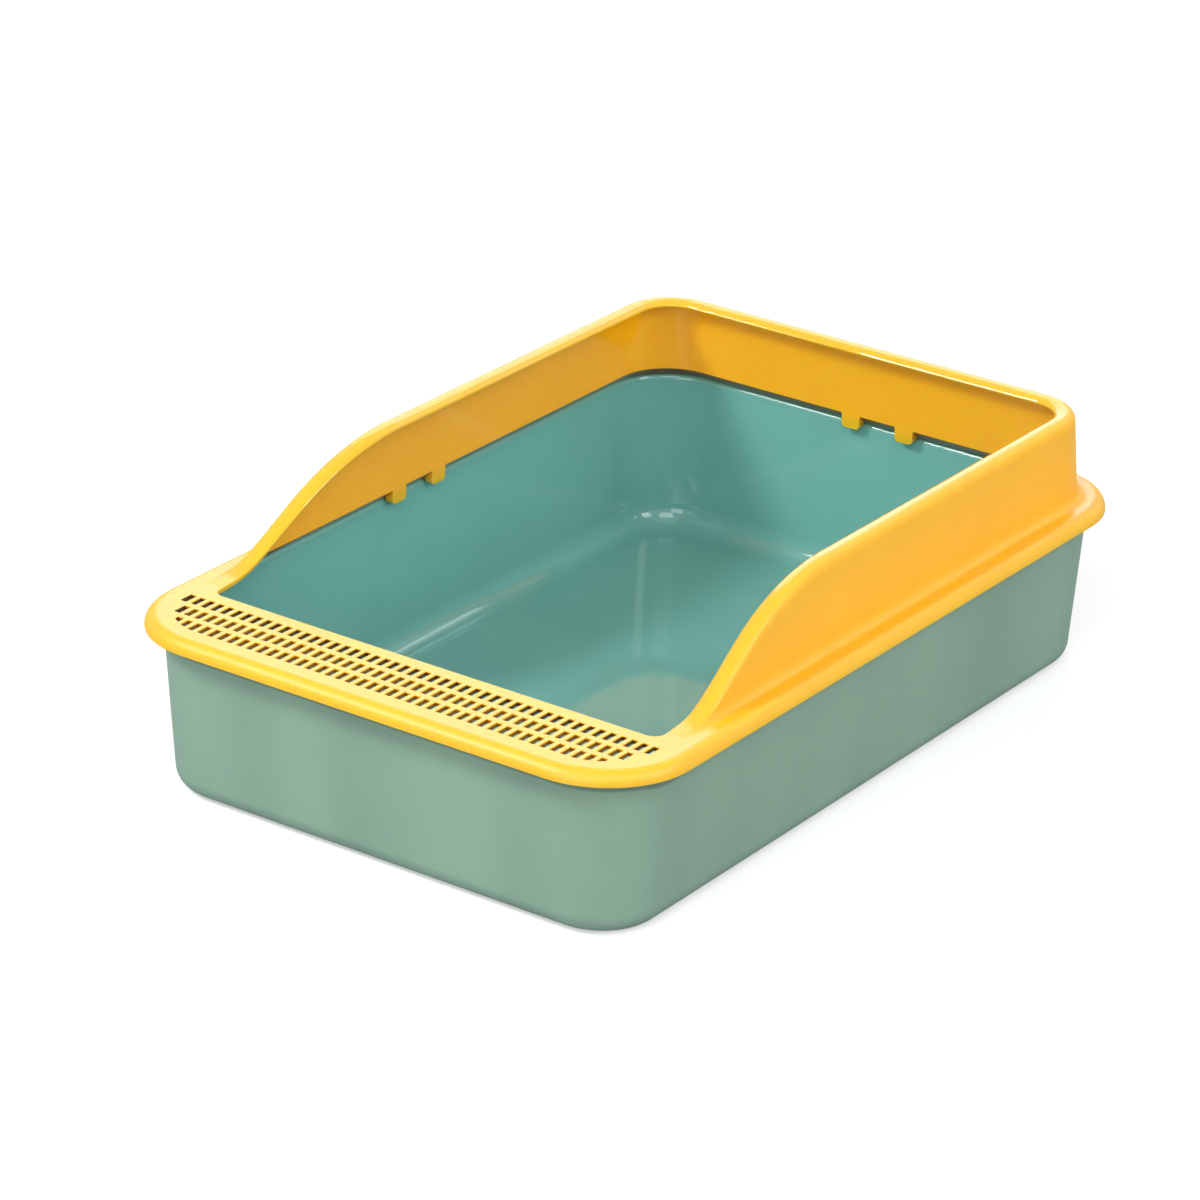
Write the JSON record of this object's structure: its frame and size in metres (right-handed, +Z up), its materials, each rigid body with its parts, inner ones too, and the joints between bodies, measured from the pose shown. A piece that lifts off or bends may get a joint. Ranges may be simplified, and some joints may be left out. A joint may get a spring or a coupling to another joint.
{
  "type": "litter tray",
  "caption": "Rectangular litter tray: a deep round-cornered pan under a lift-off splash guard whose turned-in rim sweeps down to a slotted entry platform at the front.",
  "frame": {"origin": "on the floor, under the middle of the tray's outline", "axes": "+Z up, +Y towards the high back wall, -Y towards the low slotted entry platform, +X to the right of someone who faces the back from the entry side"},
  "size_m": [0.338, 0.5, 0.15],
  "materials": {
    "pan_plastic": "glossy inside, satin outside, grey-green",
    "guard_plastic": "satin, warm yellow"
  },
  "bodies": {
    "pan": {"litter_pan": "pan_plastic"},
    "guard": {"splash_guard": "guard_plastic"}
  },
  "joints": [
    {"name": "guard_lift", "type": "slide", "parent": "pan", "child": "guard", "axis": [0, 0, 1], "range_m": [0, 0.15]}
  ]
}
